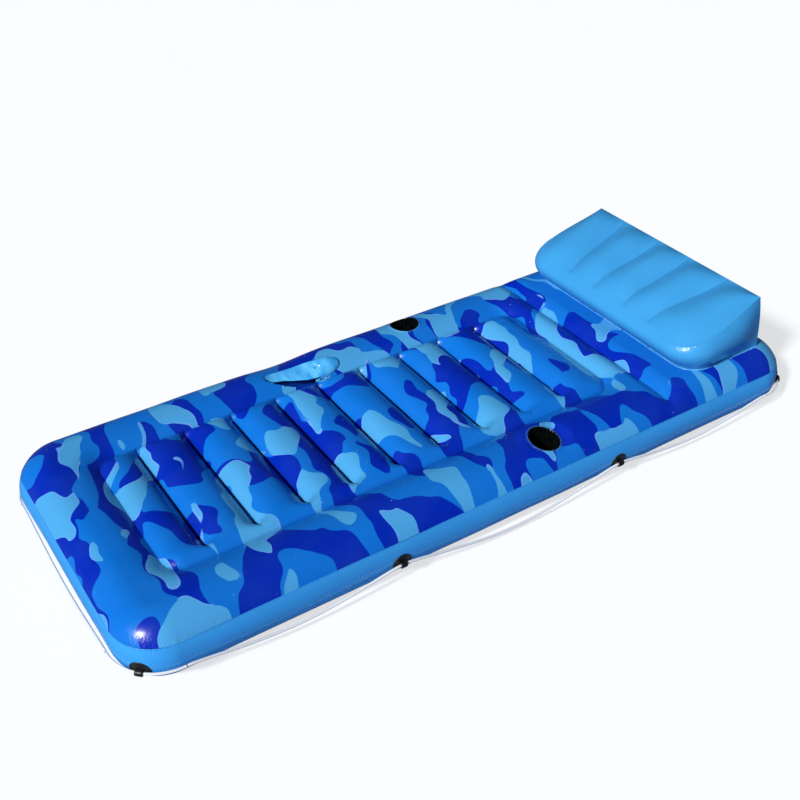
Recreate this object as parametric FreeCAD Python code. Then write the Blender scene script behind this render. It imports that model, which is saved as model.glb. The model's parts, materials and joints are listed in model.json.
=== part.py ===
"""Inflatable pool float: a mattress with a ring of side tubes round a field of cross lobes, and a
wedge pillow welded on its head end. Two drink wells, an accessory pocket, a grab rope and two valves.

Frame: +X from the foot end to the head end, +Y to the far side, +Z up, origin on the ground at the
centre of the footprint. Lengths are in millimetres and angles in degrees.
"""
import FreeCAD, Part
import math
import os

from FreeCAD import Vector

os.makedirs("parts", exist_ok=True)

# ---------------------------------------------------------------- driving dimensions
LENGTH = 2304.0                 # mattress, foot end to head end
WIDTH = 922.0                   # mattress, side to side
THICKNESS = 208.0               # mattress height when inflated
CORNER_RADIUS = 141.0           # plan radius of the mattress's corners
FILM = 0.6                      # every film sheet
SEAM_HEIGHT = 150.0             # the side wall's upper seam; the lower one is its mirror image

# the recessed field of cross lobes, inside the ring of tubes
FIELD_HALF_WIDTH = 261.0        # weld line between side tube and lobes
FIELD_FOOT = -952.0             # weld line at the foot end
FIELD_HEAD = 522.0              # weld line at the head end
FIELD_CORNER = 55.0             # plan radius of the weld line's corners
FLANK_RADIUS = 170.0            # inner flank of the tubes
FLANK_CENTRE_HEIGHT = 40.0
FLANK_REACH = 96.0              # from the weld line out to the flank's centre
LOBE_PITCH = 150.0
LOBE_COUNT = 10
LOBE_CREST = 206.0
VALLEY_HEIGHT = 180.0
GROOVE_X = 622.0                # full-width groove in front of the pillow
GROOVE_HALF_WIDTH = 35.0

# pillow
PILLOW_HALF_WIDTH = 386.0
PILLOW_FOOT = 745.0             # front edge of its base
PILLOW_BULGE = 692.0            # foremost point of its front wall
PILLOW_REAR_TOP = Vector(1010.0, 0, 398.0)
PILLOW_REAR_FOOT = 1040.0
PILLOW_SEAM = Vector(704.0, 0, 300.0)
PILLOW_CROWN = 24.0             # how far the top bows above its chord
PILLOW_CORNER = 85.0            # plan radius of the two front corners
PILLOW_BASE_HEIGHT = 208.4
PILLOW_WEB_FRONT = 730.0        # webs run from here
PILLOW_WEB_REAR = 985.0         # to here
PILLOW_WEB_ENDS = ((69.0, 69.0), (186.0, 238.0))    # half-spacing at the front and at the rear

# drink wells and pocket
CUP_X = 166.0
CUP_Y = 365.0
CUP_RADIUS = 47.5
CUP_WALL = 1.5
CUP_DEPTH = 102.0
CUP_RING_WIDTH = 8.0
CUP_RING_HEIGHT = 1.2
POCKET_X = -243.0
POCKET_Y = 309.0
POCKET_HALF_LENGTH = 118.0
POCKET_HALF_WIDTH = 41.0
POCKET_DEPTH = 70.0

# rope and its holders
ROPE_RADIUS = 4.0
HOLDER_X = 385.0                # side holders, either side of the middle
HOLDER_ANGLE = -12.0            # place on the tube's section, below its widest line
HOLDER_RADIUS = 29.0
HOLDER_THICKNESS = 2.5
EYE_STANDOFF = 8.5              # rope centre above the film
EYE_BORE = 4.7
EYE_OUTER = 8.5
EYE_LENGTH = 16.0
ROPE_SAG = 36.0                 # of the spans from a side holder to a corner
SPAN_GAP = 1.0                  # between a span's end and its neighbour's
SPAN_LEAD = 14.0                # straight rope at each end of a span

# valves
VALVE_FLANGE_RADIUS = 20.0
VALVE_FLANGE_THICKNESS = 1.2
VALVE_STEM_RADIUS = 7.0
VALVE_STEM_BORE = 4.4
VALVE_RUNNING_GAP = 0.05
VALVE_STEM_DEPTH = 20.0         # how far the stem reaches inside the film
VALVE_COLLAR_RADIUS = 9.0
VALVE_COLLAR_HEIGHT = 2.0
VALVE_FLAP_THICKNESS = 0.8
PLUG_RADIUS = 8.5
PLUG_HEIGHT = 2.4
PLUG_BARREL_TOP = 4.2
PLUG_BARREL_TIP = 3.0
PLUG_BARREL_LENGTH = 6.0
STRAP_REACH = 14.0              # from the plug's axis to the strap's hinge line
STRAP_WIDTH = 5.0
STRAP_PIN_RADIUS = 1.3
STRAP_EAR = 2.6
STRAP_THICKNESS = 1.0
MAIN_VALVE_Y = 200.0
MAIN_VALVE_TILT = 48.0          # above level, on the head end's tube
PILLOW_VALVE_Y = 150.0
PILLOW_VALVE_HEIGHT = 300.0

# ---------------------------------------------------------------- worked out from them
TUBE = THICKNESS / 2
CREST_Y = WIDTH / 2 - TUBE
CREST_X = LENGTH / 2 - TUBE
VALLEYS = [FIELD_HEAD - LOBE_PITCH * n for n in range(LOBE_COUNT)]
LOBE_RADIUS = ((LOBE_PITCH / 2) ** 2 + (LOBE_CREST - VALLEY_HEIGHT) ** 2) / 2 / (LOBE_CREST - VALLEY_HEIGHT)
SKIN_GAP = 0.05                 # between film that is welded flat together


def save(node, shape):
    """Write one named piece."""
    shape.exportStep(f"parts/{node}.step")


def face_of(points_and_arcs):
    """Face from straight and three-point arc edges, each given as its list of 2 or 3 points."""
    edges = []
    for points in points_and_arcs:
        if len(points) == 2:
            edges.append(Part.makeLine(*points))
        else:
            edges.append(Part.Arc(*points).toShape())
    return Part.Face(Part.Wire(edges))


def rounded_rectangle(x0, x1, half_width, radius, z):
    """Rounded rectangle in plan, symmetrical about the long axis."""
    y = half_width
    k = radius * (1 - math.sqrt(0.5))
    return Part.Wire([
        Part.makeLine(Vector(x0 + radius, -y, z), Vector(x1 - radius, -y, z)),
        Part.Arc(Vector(x1 - radius, -y, z), Vector(x1 - k, -y + k, z), Vector(x1, -y + radius, z)).toShape(),
        Part.makeLine(Vector(x1, -y + radius, z), Vector(x1, y - radius, z)),
        Part.Arc(Vector(x1, y - radius, z), Vector(x1 - k, y - k, z), Vector(x1 - radius, y, z)).toShape(),
        Part.makeLine(Vector(x1 - radius, y, z), Vector(x0 + radius, y, z)),
        Part.Arc(Vector(x0 + radius, y, z), Vector(x0 + k, y - k, z), Vector(x0, y - radius, z)).toShape(),
        Part.makeLine(Vector(x0, y - radius, z), Vector(x0, -y + radius, z)),
        Part.Arc(Vector(x0, -y + radius, z), Vector(x0 + k, -y + k, z), Vector(x0 + radius, -y, z)).toShape(),
    ])


def slab(z0, z1, margin=200.0):
    """Box that holds everything between two heights."""
    x = LENGTH / 2 + margin
    y = WIDTH / 2 + margin
    return Part.makeBox(2 * x, 2 * y, z1 - z0, Vector(-x, -y, z0))


# ---------------------------------------------------------------- mattress
def pad(grow):
    """Plain mattress with fully rounded edges; grow moves its whole surface outwards."""
    height = THICKNESS + 2 * grow
    outline = rounded_rectangle(-LENGTH / 2 - grow, LENGTH / 2 + grow, WIDTH / 2 + grow,
                                CORNER_RADIUS + grow, -grow)
    block = Part.Face(outline).extrude(Vector(0, 0, height))
    rims = [e for e in block.Edges if abs(e.BoundBox.ZLength) < 1e-6]
    return block.makeFillet(height / 2 - 0.1, rims)


def recess(grow):
    """The hollow between the ring of tubes, with the tubes' inner flanks as its sides."""
    drop = 21.0
    inset = FIELD_HALF_WIDTH - drop
    radius = FLANK_RADIUS + grow
    centre = Vector(0, -FIELD_HALF_WIDTH - FLANK_REACH, FLANK_CENTRE_HEIGHT)
    run = FLANK_REACH + drop
    floor = FLANK_CENTRE_HEIGHT + math.sqrt(radius ** 2 - run ** 2)
    lid = THICKNESS + 30
    path = rounded_rectangle(FIELD_FOOT + drop, FIELD_HEAD - drop, inset, FIELD_CORNER - drop, floor)
    start = path.Vertexes[0].Point.x

    def on_flank(y):
        """Point of the flank at a distance y in from its centre."""
        return Vector(start, centre.y + y, centre.z + math.sqrt(radius ** 2 - y ** 2))

    flank = face_of([
        [on_flank(run), on_flank(run / 2), on_flank(0)],
        [on_flank(0), Vector(start, centre.y, lid)],
        [Vector(start, centre.y, lid), Vector(start, -inset, lid)],
        [Vector(start, -inset, lid), on_flank(run)],
    ])
    sides = path.makePipe(flank)
    middle = Part.Face(path).extrude(Vector(0, 0, lid - floor))
    return middle.fuse(sides)


def lobes(grow):
    """The cross lobes, rounded down at both ends to meet the side tubes."""
    bottom = 140.0
    end_high = LOBE_CREST + 3 + grow
    end_mid = LOBE_CREST - 7 + grow
    weld = VALLEY_HEIGHT + grow
    y_weld = FIELD_HALF_WIDTH
    y_mid = FIELD_HALF_WIDTH - 24
    y_flat = FIELD_HALF_WIDTH - 60
    y_out = FIELD_HALF_WIDTH + 16
    x0 = FIELD_FOOT - 30

    def at(y, z):
        return Vector(x0, y, z)

    section = face_of([
        [at(-y_out, bottom), at(y_out, bottom)],
        [at(y_out, bottom), at(y_weld, weld)],
        [at(y_weld, weld), at(y_mid, end_mid), at(y_flat, end_high)],
        [at(y_flat, end_high), at(-y_flat, end_high)],
        [at(-y_flat, end_high), at(-y_mid, end_mid), at(-y_weld, weld)],
        [at(-y_weld, weld), at(-y_out, bottom)],
    ])
    arch = section.extrude(Vector(FIELD_HEAD - FIELD_FOOT + 48, 0, 0))
    rolls = []
    for valley in VALLEYS:
        centre = Vector(valley - LOBE_PITCH / 2, -y_out, LOBE_CREST - LOBE_RADIUS)
        rolls.append(Part.makeCylinder(LOBE_RADIUS + grow, 2 * y_out, centre, Vector(0, 1, 0)))
    return rolls[0].fuse(rolls[1:]).common(arch)


def groove(grow):
    """Wedge that cuts the full-width groove."""
    depth = THICKNESS - VALLEY_HEIGHT
    slope = depth / GROOVE_HALF_WIDTH
    apex = VALLEY_HEIGHT + grow * math.sqrt(1 + slope ** 2)
    lid = THICKNESS + 20
    half = (lid - apex) / slope
    y = WIDTH / 2 + 20
    wedge = face_of([
        [Vector(GROOVE_X - half, -y, lid), Vector(GROOVE_X + half, -y, lid)],
        [Vector(GROOVE_X + half, -y, lid), Vector(GROOVE_X, -y, apex)],
        [Vector(GROOVE_X, -y, apex), Vector(GROOVE_X - half, -y, lid)],
    ])
    return wedge.extrude(Vector(0, 2 * y, 0))


def mattress(grow):
    """The whole inflated mattress as one solid; grow moves its surface outwards."""
    return pad(grow).cut(recess(grow)).fuse(lobes(grow)).cut(groove(grow))


def upright_web(x, half_width, inside):
    """Film strip across the mattress, from the bottom sheet to the top sheet."""
    plate = Part.makeBox(FILM, 2 * half_width, THICKNESS, Vector(x - FILM / 2, -half_width, 0))
    return plate.common(inside)


def cross_webs(inside):
    """Film strips under the valleys; air passes round their ends."""
    half_width = FIELD_HALF_WIDTH - 25
    return Part.makeCompound([upright_web(x, half_width, inside) for x in VALLEYS[1:]])


def perimeter_web(inside):
    """Band of film under the weld line round the field, with an air window near each corner."""
    outer = rounded_rectangle(FIELD_FOOT, FIELD_HEAD, FIELD_HALF_WIDTH, FIELD_CORNER, 0)
    inner = rounded_rectangle(FIELD_FOOT + FILM, FIELD_HEAD - FILM, FIELD_HALF_WIDTH - FILM,
                              FIELD_CORNER - FILM, 0)
    up = Vector(0, 0, THICKNESS)
    band = Part.Face(outer).extrude(up).cut(Part.Face(inner).extrude(up)).common(inside)
    length, height, depth = 60.0, 50.0, 60.0
    for x in (FIELD_FOOT + 90, FIELD_HEAD - 150):
        window = Part.makeBox(length, 2 * FIELD_HALF_WIDTH + depth, height,
                              Vector(x, -FIELD_HALF_WIDTH - depth / 2, TUBE - height / 2))
        band = band.cut(window)
    return band


def head_web(inside):
    """Film strip under the full-width groove, with two air windows."""
    strip = upright_web(GROOVE_X, WIDTH / 2 - TUBE, inside)
    size = 60.0
    for y in (-FIELD_HALF_WIDTH / 2, FIELD_HALF_WIDTH / 2):
        strip = strip.cut(Part.makeBox(20, size, size, Vector(GROOVE_X - 10, y - size / 2, TUBE - size / 2)))
    return strip


# ---------------------------------------------------------------- drink wells and pocket
def upright_disc(x, y, radius, z0, z1):
    return Part.makeCylinder(radius, z1 - z0, Vector(x, y, z0), Vector(0, 0, 1))


def cup_parts(y, outside, raised):
    """Wall, floor and weld ring of one drink well."""
    floor = THICKNESS - CUP_DEPTH
    top = THICKNESS + 20
    hole = upright_disc(CUP_X, y, CUP_RADIUS, floor, top)
    wall = upright_disc(CUP_X, y, CUP_RADIUS + CUP_WALL, floor, top).cut(hole).common(outside)
    disc = upright_disc(CUP_X, y, CUP_RADIUS + CUP_WALL, floor - CUP_WALL, floor)
    band = upright_disc(CUP_X, y, CUP_RADIUS + CUP_WALL + CUP_RING_WIDTH, SEAM_HEIGHT, top)
    ring = band.cut(hole).common(raised).cut(outside)
    return wall, disc, ring


def pocket_outline(inset):
    """Ellipse of the pocket's mouth, drawn in from its edge by inset."""
    ellipse = Part.Ellipse(Vector(POCKET_X, POCKET_Y, 0), POCKET_HALF_LENGTH - inset, POCKET_HALF_WIDTH - inset)
    return Part.Face(Part.Wire([ellipse.toShape()]))


def pocket_column(inset, z0):
    """Upright column under the pocket's mouth."""
    column = pocket_outline(inset)
    column.translate(Vector(0, 0, z0))
    return column.extrude(Vector(0, 0, THICKNESS + 20 - z0))


def pocket_liner(outside):
    """Film well of the accessory pocket."""
    floor = THICKNESS - POCKET_DEPTH
    return pocket_column(0, floor - FILM).common(outside).cut(pocket_column(FILM, floor))


# ---------------------------------------------------------------- pillow
def pillow(grow):
    """The inflated pillow as one solid; grow moves its surface outwards."""
    top = PILLOW_REAR_TOP + Vector(0, 0, grow)
    top.x += grow
    seam = PILLOW_SEAM + Vector(-grow, 0, grow)
    chord = (top - seam)
    chord.normalize()
    crown = (top + seam) * 0.5 + Vector(-chord.z, 0, chord.x) * PILLOW_CROWN
    base = PILLOW_BASE_HEIGHT - grow
    front = Vector(PILLOW_FOOT - grow, 0, base)
    rear = Vector(PILLOW_REAR_FOOT + grow, 0, base)
    bulge = Vector(PILLOW_BULGE - grow, 0, (base + seam.z) / 2 + 6)
    reach = Vector(0, PILLOW_HALF_WIDTH + 50, 0)
    section = face_of([
        [front - reach, bulge - reach, seam - reach],
        [seam - reach, crown - reach, top - reach],
        [top - reach, rear - reach],
        [rear - reach, front - reach],
    ])
    outline = rounded_rectangle(PILLOW_BULGE - 10, PILLOW_REAR_FOOT + 300, PILLOW_HALF_WIDTH + grow,
                                PILLOW_CORNER, 0)
    outline.translate(Vector(9 - grow, 0, 0))
    plan = Part.Face(outline).extrude(Vector(0, 0, 600))
    return section.extrude(reach * 2).common(plan)


def above_pillow_seam():
    """Everything above the plane of the seam that joins the pillow's top sheet to its gusset."""
    rise = (PILLOW_REAR_TOP.z - PILLOW_SEAM.z) / (PILLOW_REAR_TOP.x - PILLOW_SEAM.x)
    x0, x1, y, lid = 600.0, 1200.0, 500.0, 700.0

    def on_plane(x):
        return Vector(x, -y, PILLOW_SEAM.z - FILM + rise * (x - PILLOW_SEAM.x))

    side = face_of([
        [on_plane(x0), on_plane(x1)],
        [on_plane(x1), Vector(x1, -y, lid)],
        [Vector(x1, -y, lid), Vector(x0, -y, lid)],
        [Vector(x0, -y, lid), on_plane(x0)],
    ])
    return side.extrude(Vector(0, 2 * y, 0))


def pillow_webs(inside):
    """Film strips under the pillow's grooves, the outer two spreading towards the rear."""
    strips = []
    for front_y, rear_y in PILLOW_WEB_ENDS:
        for side in (-1, 1):
            start = Vector(PILLOW_WEB_FRONT, side * front_y, 0)
            run = Vector(PILLOW_WEB_REAR, side * rear_y, 0) - start
            plate = Part.makeBox(run.Length, FILM, 600)
            plate.rotate(Vector(), Vector(0, 0, 1), math.degrees(math.atan2(run.y, run.x)))
            plate.translate(start)
            strips.append(plate.common(inside))
    return Part.makeCompound(strips)


# ---------------------------------------------------------------- rope
HOLDER_REACH = TUBE + EYE_STANDOFF
EYE_OUT = HOLDER_REACH * math.cos(math.radians(HOLDER_ANGLE))
EYE_HEIGHT = TUBE + HOLDER_REACH * math.sin(math.radians(HOLDER_ANGLE))
TURN_RADIUS = CORNER_RADIUS - TUBE + EYE_OUT       # the rope's plan radius round a corner
TURN_X = CREST_X - (CORNER_RADIUS - TUBE)
TURN_Y = CREST_Y - (CORNER_RADIUS - TUBE)
ROPE_X = TURN_X + TURN_RADIUS
ROPE_Y = TURN_Y + TURN_RADIUS


def holder(centre, outward, raised, outside):
    """Moulded patch that follows the wall, with an eye for the rope; outward is its heading in plan."""
    tilt = math.radians(HOLDER_ANGLE)
    out = outward * math.cos(tilt) + Vector(0, 0, math.sin(tilt))
    along = Vector(0, 0, 1).cross(outward)
    root = centre + out * (TUBE - 15)
    patch = Part.makeCylinder(HOLDER_RADIUS, 30, root, out).common(raised).cut(outside)
    eye_centre = centre + out * HOLDER_REACH
    start = eye_centre - along * (EYE_LENGTH / 2)
    eye = Part.makeCylinder(EYE_OUTER, EYE_LENGTH, start, along)
    bore = Part.makeCylinder(EYE_BORE, 2 * EYE_LENGTH, eye_centre - along * EYE_LENGTH, along)
    return patch.fuse(eye.cut(outside)).cut(bore).cut(outside)


def holder_places():
    """Name, tube centre and outward heading of each rope holder."""
    places = []
    for end, x in (("foot", -1), ("head", 1)):
        for side, y in (("near", -1), ("far", 1)):
            heading = Vector(x, y, 0)
            heading.normalize()
            bend = Vector(x * TURN_X, y * TURN_Y, TUBE)
            places.append((f"{end}_corner_{side}", bend + heading * (CORNER_RADIUS - TUBE), heading))
            places.append((f"{end}_side_{side}", Vector(x * HOLDER_X, y * CREST_Y, TUBE), Vector(0, y, 0)))
    return places


def rope_corner(x, y):
    """Rope run held close round one corner, through that corner's holder."""
    turn = Vector(x * TURN_X, y * TURN_Y, EYE_HEIGHT)
    first = turn + Vector(x * TURN_RADIUS, 0, 0)
    last = turn + Vector(0, y * TURN_RADIUS, 0)
    middle = turn + Vector(x, y, 0) * (TURN_RADIUS * math.sqrt(0.5))
    path = Part.Wire([Part.Arc(first, middle, last).toShape()])
    section = Part.Face(Part.Wire([Part.Circle(first, Vector(0, 1, 0), ROPE_RADIUS).toShape()]))
    return path.makePipe(section)


def rope_span(start, end):
    """Rope that hangs between two points, sagging straight down."""
    along = end - start
    length = along.Length - 2 * SPAN_GAP
    along.normalize()
    first = start + along * SPAN_GAP
    sag = ROPE_SAG * ((length + 2 * SPAN_GAP) / (TURN_X - HOLDER_X)) ** 2
    free = length - 2 * SPAN_LEAD
    count = 12
    curve = []
    for n in range(count + 1):
        share = n / count
        drop = sag * math.sin(math.pi * share) ** 1.2 if 0 < n < count else 0.0
        curve.append(first + along * (SPAN_LEAD + free * share) - Vector(0, 0, drop))
    spline = Part.BSplineCurve()
    spline.interpolate(curve, InitialTangent=along, FinalTangent=along)
    lead_in = Part.makeLine(first, curve[0])
    lead_out = Part.makeLine(curve[-1], first + along * length)
    path = Part.Wire([lead_in, spline.toShape(), lead_out])
    section = Part.Wire([Part.Circle(first, along, ROPE_RADIUS).toShape()])
    return path.makePipeShell([section], True, False)


def rope_spans():
    """Name and solid of each free span."""
    spans = {}
    for name, x in (("foot", -1), ("head", 1)):
        spans[f"rope_span_{name}"] = rope_span(
            Vector(x * ROPE_X, -TURN_Y, EYE_HEIGHT), Vector(x * ROPE_X, TURN_Y, EYE_HEIGHT))
    stops = [("foot", -TURN_X), ("middle", -HOLDER_X), ("head", HOLDER_X), ("end", TURN_X)]
    for side, y in (("near", -1), ("far", 1)):
        for (name, x0), (_, x1) in zip(stops, stops[1:]):
            spans[f"rope_span_{side}_{name}"] = rope_span(
                Vector(x0, y * ROPE_Y, EYE_HEIGHT), Vector(x1, y * ROPE_Y, EYE_HEIGHT))
    return spans


# ---------------------------------------------------------------- valves
# A valve is drawn at the origin with its axis along +Z and the film's outer face at z = 0; the strap
# hinges on the +X side. seat() puts it in place.
def valve_stem():
    """Soft tube that slides in the flange, with a collar outside and an ear for the plug's strap."""
    low = -VALVE_STEM_DEPTH
    lift = VALVE_FLANGE_THICKNESS + 0.2
    tube = Part.makeCylinder(VALVE_STEM_RADIUS, lift + VALVE_COLLAR_HEIGHT - low, Vector(0, 0, low))
    collar = Part.makeCylinder(VALVE_COLLAR_RADIUS, VALVE_COLLAR_HEIGHT, Vector(0, 0, lift))
    ear_start = VALVE_COLLAR_RADIUS - 2
    ear = Part.makeBox(STRAP_REACH - ear_start, STRAP_WIDTH - 1, VALVE_COLLAR_HEIGHT - 0.2,
                       Vector(ear_start, -(STRAP_WIDTH - 1) / 2, lift))
    pin = Part.makeCylinder(STRAP_PIN_RADIUS, STRAP_WIDTH - 1, hinge_point() - Vector(0, (STRAP_WIDTH - 1) / 2, 0),
                            Vector(0, 1, 0))
    bore = Part.makeCylinder(VALVE_STEM_BORE, 40, Vector(0, 0, low - 1))
    return tube.fuse([collar, ear, pin]).cut(bore).removeSplitter()


def hinge_point():
    """Centre of the strap's hinge, level with the underside of the plug's head."""
    return Vector(STRAP_REACH, 0, VALVE_FLANGE_THICKNESS + 0.2 + VALVE_COLLAR_HEIGHT + 0.6)


def valve_plug():
    """Plug head with a tapered barrel, and a strap with two eyes on the stem's ear."""
    seat_height = VALVE_FLANGE_THICKNESS + 0.2 + VALVE_COLLAR_HEIGHT + 0.1
    head = Part.makeCylinder(PLUG_RADIUS, PLUG_HEIGHT, Vector(0, 0, seat_height))
    head = head.makeFillet(0.8, [e for e in head.Edges if e.BoundBox.ZMin > seat_height + 1])
    barrel = Part.makeCone(PLUG_BARREL_TIP, PLUG_BARREL_TOP, PLUG_BARREL_LENGTH,
                           Vector(0, 0, seat_height - PLUG_BARREL_LENGTH))
    pivot = hinge_point()
    strap_top = pivot.z + STRAP_EAR
    strap = Part.makeBox(STRAP_REACH, STRAP_WIDTH + 4, STRAP_THICKNESS,
                         Vector(0, -(STRAP_WIDTH + 4) / 2, strap_top - STRAP_THICKNESS))
    eyes = []
    for y in (-(STRAP_WIDTH + 4) / 2, STRAP_WIDTH / 2):
        eyes.append(Part.makeCylinder(STRAP_EAR, 2.0, Vector(pivot.x, y, pivot.z), Vector(0, 1, 0)))
    body = head.fuse([barrel, strap] + eyes)
    for y in (-(STRAP_WIDTH + 4) / 2, STRAP_WIDTH / 2):
        socket = Part.makeCylinder(STRAP_PIN_RADIUS + VALVE_RUNNING_GAP, 2.0,
                                   Vector(pivot.x, y, pivot.z), Vector(0, 1, 0))
        body = body.cut(socket)
    return body


def valve_flap():
    """One-way film flap that closes the stem's inner end."""
    z = -VALVE_STEM_DEPTH - SKIN_GAP - VALVE_FLAP_THICKNESS
    return Part.makeCylinder(VALVE_STEM_RADIUS, VALVE_FLAP_THICKNESS, Vector(0, 0, z))


def valve_flange():
    """Flat round flange with the hole that the stem slides in."""
    disc = Part.makeCylinder(VALVE_FLANGE_RADIUS, VALVE_FLANGE_THICKNESS, Vector(0, 0, SKIN_GAP))
    hole = Part.makeCylinder(VALVE_STEM_RADIUS + VALVE_RUNNING_GAP, 10, Vector(0, 0, -5))
    return disc.cut(hole)


def seat(shape, origin, axis, strap):
    """Move a valve piece from its own frame: axis is its outward axis, strap the hinge's side."""
    placed = shape.copy()
    placed.Placement = FreeCAD.Placement(origin, FreeCAD.Rotation(strap, axis.cross(strap), axis, "ZXY"))
    return placed


def valve_frames():
    """Origin on the film, outward axis and strap side of each valve."""
    tilt = math.radians(MAIN_VALVE_TILT)
    axis = Vector(math.cos(tilt), 0, math.sin(tilt))
    up = Vector(-math.sin(tilt), 0, math.cos(tilt))
    main = Vector(CREST_X, MAIN_VALVE_Y, TUBE) + axis * TUBE
    back = Vector(PILLOW_REAR_FOOT, 0, PILLOW_BASE_HEIGHT) - PILLOW_REAR_TOP
    slope = Vector(-back.z, 0, back.x)
    slope.normalize()
    share = (PILLOW_REAR_TOP.z - PILLOW_VALVE_HEIGHT) / (PILLOW_REAR_TOP.z - PILLOW_BASE_HEIGHT)
    rear = PILLOW_REAR_TOP + back * share + Vector(0, PILLOW_VALVE_Y, 0)
    rise = Vector(-slope.z, 0, slope.x)
    return {"main_valve": (main, axis, up), "pillow_valve": (rear, slope, rise)}


# ---------------------------------------------------------------- build
def build():
    outside = mattress(0)
    inside = mattress(-FILM)
    skin = outside.cut(inside)
    raised = mattress(CUP_RING_HEIGHT)
    frames = valve_frames()

    top = skin.common(slab(SEAM_HEIGHT, THICKNESS + 30))
    for y in (-CUP_Y, CUP_Y):
        top = top.cut(upright_disc(CUP_X, y, CUP_RADIUS + CUP_WALL, SEAM_HEIGHT, THICKNESS + 30))
    top = top.cut(pocket_column(0, SEAM_HEIGHT))
    origin, axis, _ = frames["main_valve"]
    throat = Part.makeCylinder(VALVE_STEM_RADIUS + 0.5, 20, origin - axis * 10, axis)
    save("top_sheet", top.cut(throat))
    save("side_wall", skin.common(slab(THICKNESS - SEAM_HEIGHT, SEAM_HEIGHT)))
    save("bottom_sheet", skin.common(slab(-1, THICKNESS - SEAM_HEIGHT)))
    save("cross_webs", cross_webs(inside))
    save("perimeter_web", perimeter_web(inside))
    save("head_web", head_web(inside))

    for side, y in (("near", -CUP_Y), ("far", CUP_Y)):
        wall, disc, ring = cup_parts(y, outside, raised)
        save(f"cup_wall_{side}", wall)
        save(f"cup_floor_{side}", disc)
        save(f"cup_ring_{side}", ring)
    save("pocket_liner", pocket_liner(outside))

    pillow_outside = pillow(0)
    pillow_inside = pillow(-FILM)
    pillow_skin = pillow_outside.cut(pillow_inside)
    upper = above_pillow_seam()
    base_slab = slab(PILLOW_BASE_HEIGHT, PILLOW_BASE_HEIGHT + FILM)
    save("pillow_top_sheet", pillow_skin.common(upper))
    origin, axis, _ = frames["pillow_valve"]
    throat = Part.makeCylinder(VALVE_STEM_RADIUS + 0.5, 20, origin - axis * 10, axis)
    save("pillow_gusset", pillow_skin.cut(upper).cut(base_slab).cut(throat))
    save("pillow_base_sheet", pillow_outside.common(base_slab))
    save("pillow_webs", pillow_webs(pillow_inside))

    plain = pad(SKIN_GAP)
    thick = pad(HOLDER_THICKNESS)
    for name, centre, outward in holder_places():
        save(f"rope_holder_{name}", holder(centre, outward, thick, plain))
    for end, x in (("foot", -1), ("head", 1)):
        for side, y in (("near", -1), ("far", 1)):
            save(f"rope_corner_{end}_{side}", rope_corner(x, y))
    for name, shape in rope_spans().items():
        save(name, shape)

    pieces = {"stem": valve_stem(), "plug": valve_plug(), "flap": valve_flap(), "flange": valve_flange()}
    for valve, (origin, axis, strap) in frames.items():
        for piece, shape in pieces.items():
            save(f"{valve}_{piece}", seat(shape, origin, axis, strap))


build()
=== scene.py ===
"""Looks of the inflatable pool float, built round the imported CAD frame.

Shapes are in millimetres; the camera, lights, floor and texture scales are in metres.
"""
import json
import math

import bpy
import numpy as np
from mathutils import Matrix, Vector


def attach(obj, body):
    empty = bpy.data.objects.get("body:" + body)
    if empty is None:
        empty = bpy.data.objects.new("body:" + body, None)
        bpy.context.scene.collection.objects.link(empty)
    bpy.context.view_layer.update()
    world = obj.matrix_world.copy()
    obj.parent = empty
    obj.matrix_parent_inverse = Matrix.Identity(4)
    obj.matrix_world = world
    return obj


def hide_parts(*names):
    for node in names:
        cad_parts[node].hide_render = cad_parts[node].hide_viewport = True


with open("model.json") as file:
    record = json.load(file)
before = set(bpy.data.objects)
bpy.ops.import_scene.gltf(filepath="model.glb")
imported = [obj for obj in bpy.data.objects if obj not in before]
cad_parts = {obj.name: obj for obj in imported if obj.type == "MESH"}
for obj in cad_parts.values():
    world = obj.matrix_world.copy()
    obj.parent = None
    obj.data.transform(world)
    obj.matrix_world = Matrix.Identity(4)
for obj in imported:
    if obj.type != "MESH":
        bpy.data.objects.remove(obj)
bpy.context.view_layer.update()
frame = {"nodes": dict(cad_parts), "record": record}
MM = 0.001

# ---- the frame's dimensions
HALF_LENGTH, HALF_WIDTH, CORNER = 1152.0, 461.0, 141.0
TUBE, BAND = 104.0, 46.0                        # side tube's radius, and half the height of its plain band
BASE_X, BASE_Y = HALF_LENGTH - CORNER, HALF_WIDTH - CORNER      # rectangle the edge is offset from
CREST_OFFSET = CORNER - TUBE
SEAM_ANGLE = math.degrees(math.asin(BAND / TUBE))
FIELD_FOOT, FIELD_HEAD, FIELD_HALF, FIELD_CORNER = -952.0, 522.0, 261.0, 55.0
FIELD_MID = (FIELD_FOOT + FIELD_HEAD) / 2
FIELD_REACH = (FIELD_HEAD - FIELD_FOOT) / 2
PITCH, VALLEY, CREST, TOP = 150.0, 180.0, 206.0, 208.0
VALLEYS = [FIELD_HEAD - PITCH * n for n in range(10)]
GROOVE_X = 622.0
CUP_X, CUP_Y, CUP_R, CUP_FLOOR = 166.0, 365.0, 47.5, 106.0
MOUTH = (-250.0, 308.0, 124.0, 43.0)            # pocket's slack mouth: centre x, y, half-length, half-width
EYE_ANGLE, EYE_STANDOFF, HOLDER_X = -12.0, 8.5, 385.0
EYE_OUT = (TUBE + EYE_STANDOFF) * math.cos(math.radians(EYE_ANGLE))
EYE_HEIGHT = TUBE + (TUBE + EYE_STANDOFF) * math.sin(math.radians(EYE_ANGLE))
TURN_R = CREST_OFFSET + EYE_OUT


# ---- small maths
def step(lo, hi, v):
    """Smooth step from 0 at lo to 1 at hi."""
    t = np.clip((np.asarray(v, float) - lo) / (hi - lo), 0, 1)
    return t * t * (3 - 2 * t)


def mix(a, b, t):
    return a * (1 - t) + b * t


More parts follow.
